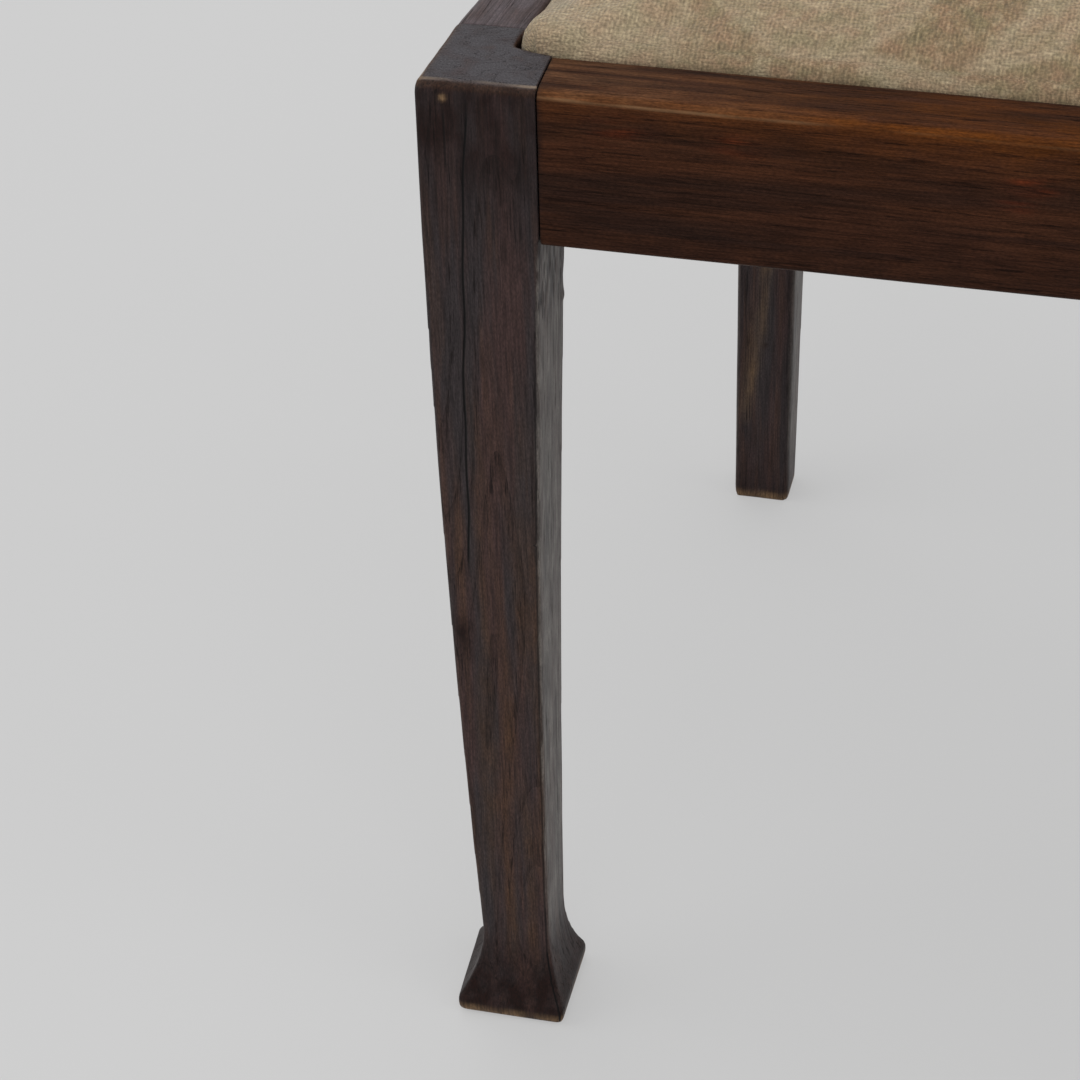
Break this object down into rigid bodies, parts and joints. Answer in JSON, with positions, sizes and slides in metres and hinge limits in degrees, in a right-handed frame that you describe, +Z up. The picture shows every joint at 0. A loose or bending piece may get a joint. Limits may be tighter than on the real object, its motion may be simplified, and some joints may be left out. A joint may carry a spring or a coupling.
{
  "type": "dining chair",
  "caption": "Dark oak dining chair with curved-taper front legs on flared feet, rebated seat rails, a raked slatted back and an upholstered seat that lifts out.",
  "frame": {"origin": "on the floor, in the middle of the chair's footprint", "axes": "+Z up, the front of the chair faces -Y, +X towards its right-hand leg as seen from the front"},
  "size_m": [0.4752, 0.4842, 0.9957],
  "materials": {
    "stained_oak": "dark stained and waxed oak, worn arrises",
    "red_oak": "red-brown stained and waxed oak, worn to gold on the top arris",
    "beech": "bare sawn beech, darkened with age",
    "screw_steel": "dull steel",
    "tack_steel": "blued steel",
    "jute_webbing": "plain woven jute",
    "hessian_cloth": "open woven hessian",
    "hair_stuffing": "curled hair and wadding",
    "woven_cover": "ribbed beige weave with a faint leaf figure",
    "black_cloth": "thin black lining cloth"
  },
  "bodies": {
    "chair_frame": {"front_leg_left": "stained_oak", "front_leg_right": "stained_oak", "back_post_left": "stained_oak", "back_post_right": "stained_oak", "front_seat_rail": "red_oak", "back_seat_rail": "red_oak", "side_seat_rail_left": "red_oak", "side_seat_rail_right": "red_oak", "crest_rail": "stained_oak", "lower_back_rail": "stained_oak", "centre_splat": "stained_oak", "side_slat_left": "stained_oak", "side_slat_right": "stained_oak", "corner_block_front_left": "beech", "corner_block_front_right": "beech", "corner_block_back_left": "beech", "corner_block_back_right": "beech", "corner_block_screws": "screw_steel"},
    "lift_out_seat": {"seat_frame_front": "beech", "seat_frame_back": "beech", "seat_frame_left": "beech", "seat_frame_right": "beech", "seat_frame_dowels": "beech", "webbing_lengthwise": "jute_webbing", "webbing_crosswise": "jute_webbing", "hessian": "hessian_cloth", "stuffing_pad": "hair_stuffing", "seat_cover": "woven_cover", "dust_cloth": "black_cloth", "cover_tacks": "tack_steel", "dust_cloth_tacks": "tack_steel", "webbing_tacks": "tack_steel"}
  },
  "joints": [
    {"name": "seat_lift", "type": "slide", "parent": "chair_frame", "child": "lift_out_seat", "axis": [0, 0, 1], "range_m": [0, 0.12]}
  ]
}
